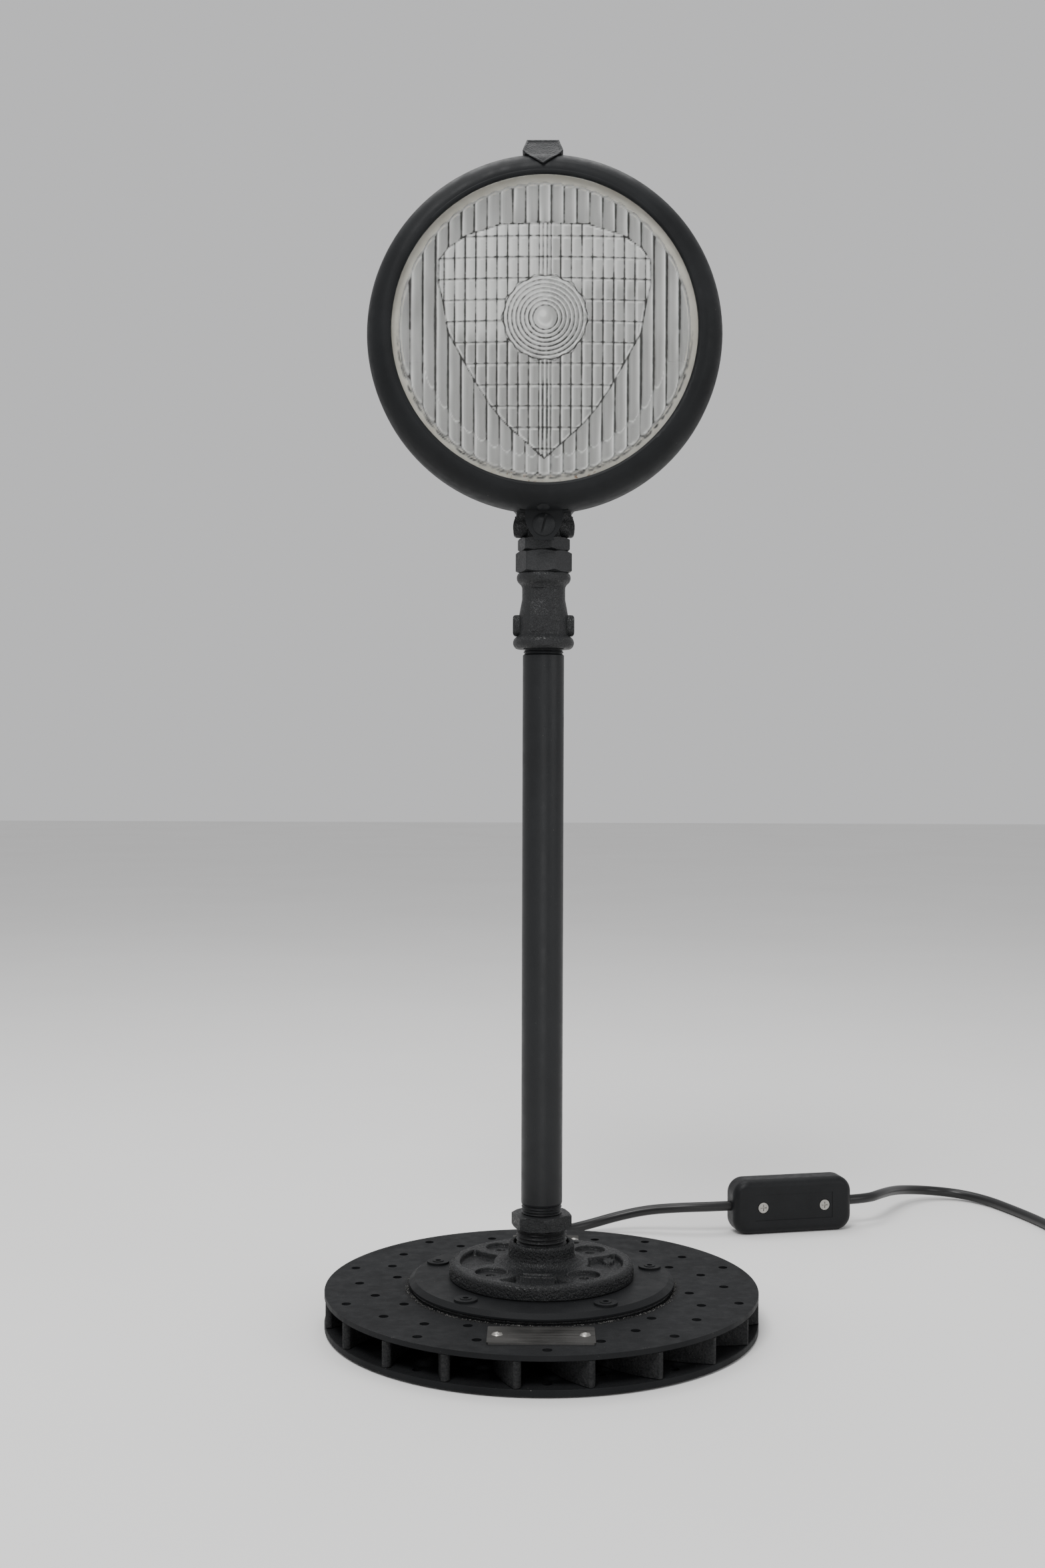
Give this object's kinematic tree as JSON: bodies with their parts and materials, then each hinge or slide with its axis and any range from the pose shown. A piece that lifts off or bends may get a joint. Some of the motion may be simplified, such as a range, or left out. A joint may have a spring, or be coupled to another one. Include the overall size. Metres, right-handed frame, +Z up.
{
  "type": "table lamp",
  "caption": "Table lamp on a black pipe stem with a vented disc base, a tilting and turning round spotlight head with fluted glass, and an in-line cord switch.",
  "frame": {"origin": "point on the table under the stem's axis", "axes": "+Z up along the stem; the head faces -Y; +X to the viewer's right"},
  "size_m": [0.6759, 0.4821, 0.7573],
  "materials": {
    "rotor_coat": "matt black coat over rough cast",
    "cast_black": "black, rough sand cast",
    "pipe_black": "black, satin",
    "powder_black": "fine matt powder coat",
    "plate_steel": "brushed, slightly worn",
    "screw_steel": "bright zinc",
    "dark_steel": "dark, satin",
    "glass": "pressed, clear",
    "bulb_glass": "frosted",
    "reflector_silver": "satin silvered",
    "black_plastic": "satin black",
    "cord_pvc": "black, glossy",
    "black_rubber": "matt",
    "brass": "plain",
    "cream_seal": "aged cream",
    "porcelain": "white ceramic"
  },
  "bodies": {
    "base": {"anti_slip_ring": "black_rubber", "vented_disc": "rotor_coat", "hub_spacer": "cast_black", "cover_plate": "rotor_coat", "cover_washers": "powder_black", "cover_rivets": "dark_steel", "floor_flange": "cast_black", "flange_screws": "dark_steel", "reducing_bushing": "cast_black", "stem_pipe": "pipe_black", "bell_reducer": "cast_black", "hex_nipple": "cast_black", "stem_cable": "cord_pvc", "cord_gland": "black_rubber", "front_plate": "plate_steel", "front_plate_screws": "screw_steel", "rear_plate": "plate_steel", "rear_plate_screws": "screw_steel", "switch_back_shell": "black_plastic", "switch_front_shell": "black_plastic", "switch_screws": "screw_steel", "rocker_pin": "screw_steel", "switch_terminals": "brass", "cord_clamps": "black_plastic", "lead_to_switch": "cord_pvc", "lead_to_coil": "cord_pvc", "lead_coil": "cord_pvc", "coil_tie": "black_plastic", "lead_to_plug": "cord_pvc", "plug_body": "black_plastic", "plug_pins": "brass", "plug_earth_clips": "brass"},
    "swivel": {"swivel_eye": "cast_black", "lock_nut": "cast_black", "spring_washer": "dark_steel", "retaining_nut": "dark_steel", "swivel_cable": "cord_pvc"},
    "head": {"head_foot": "cast_black", "pivot_screws": "dark_steel", "head_bowl": "powder_black", "foot_screw": "screw_steel", "bowl_grommet": "black_rubber", "bezel": "powder_black", "rim_tab": "powder_black", "rim_screw": "dark_steel", "rim_rivet": "powder_black", "lens": "glass", "lens_seal": "cream_seal", "reflector": "reflector_silver", "lens_clips": "screw_steel", "holder_ring": "screw_steel", "lampholder": "porcelain", "bulb_cap": "brass", "bulb": "bulb_glass", "head_cable": "cord_pvc", "badge": "powder_black"},
    "rocker": {"switch_rocker": "black_plastic"}
  },
  "joints": [
    {"name": "head_pan", "type": "hinge", "parent": "base", "child": "swivel", "pos_m": [0, 0, 0.5003], "axis": [0, 0, 1], "range_deg": [-150, 150]},
    {"name": "head_tilt", "type": "hinge", "parent": "swivel", "child": "head", "pos_m": [0, 0, 0.5175], "axis": [1, 0, 0], "range_deg": [-32, 12]},
    {"name": "switch_rock", "type": "hinge", "parent": "base", "child": "rocker", "pos_m": [0.19103, 0.24542, 0.021], "axis": [0, 0, 1], "range_deg": [0, 16]}
  ]
}
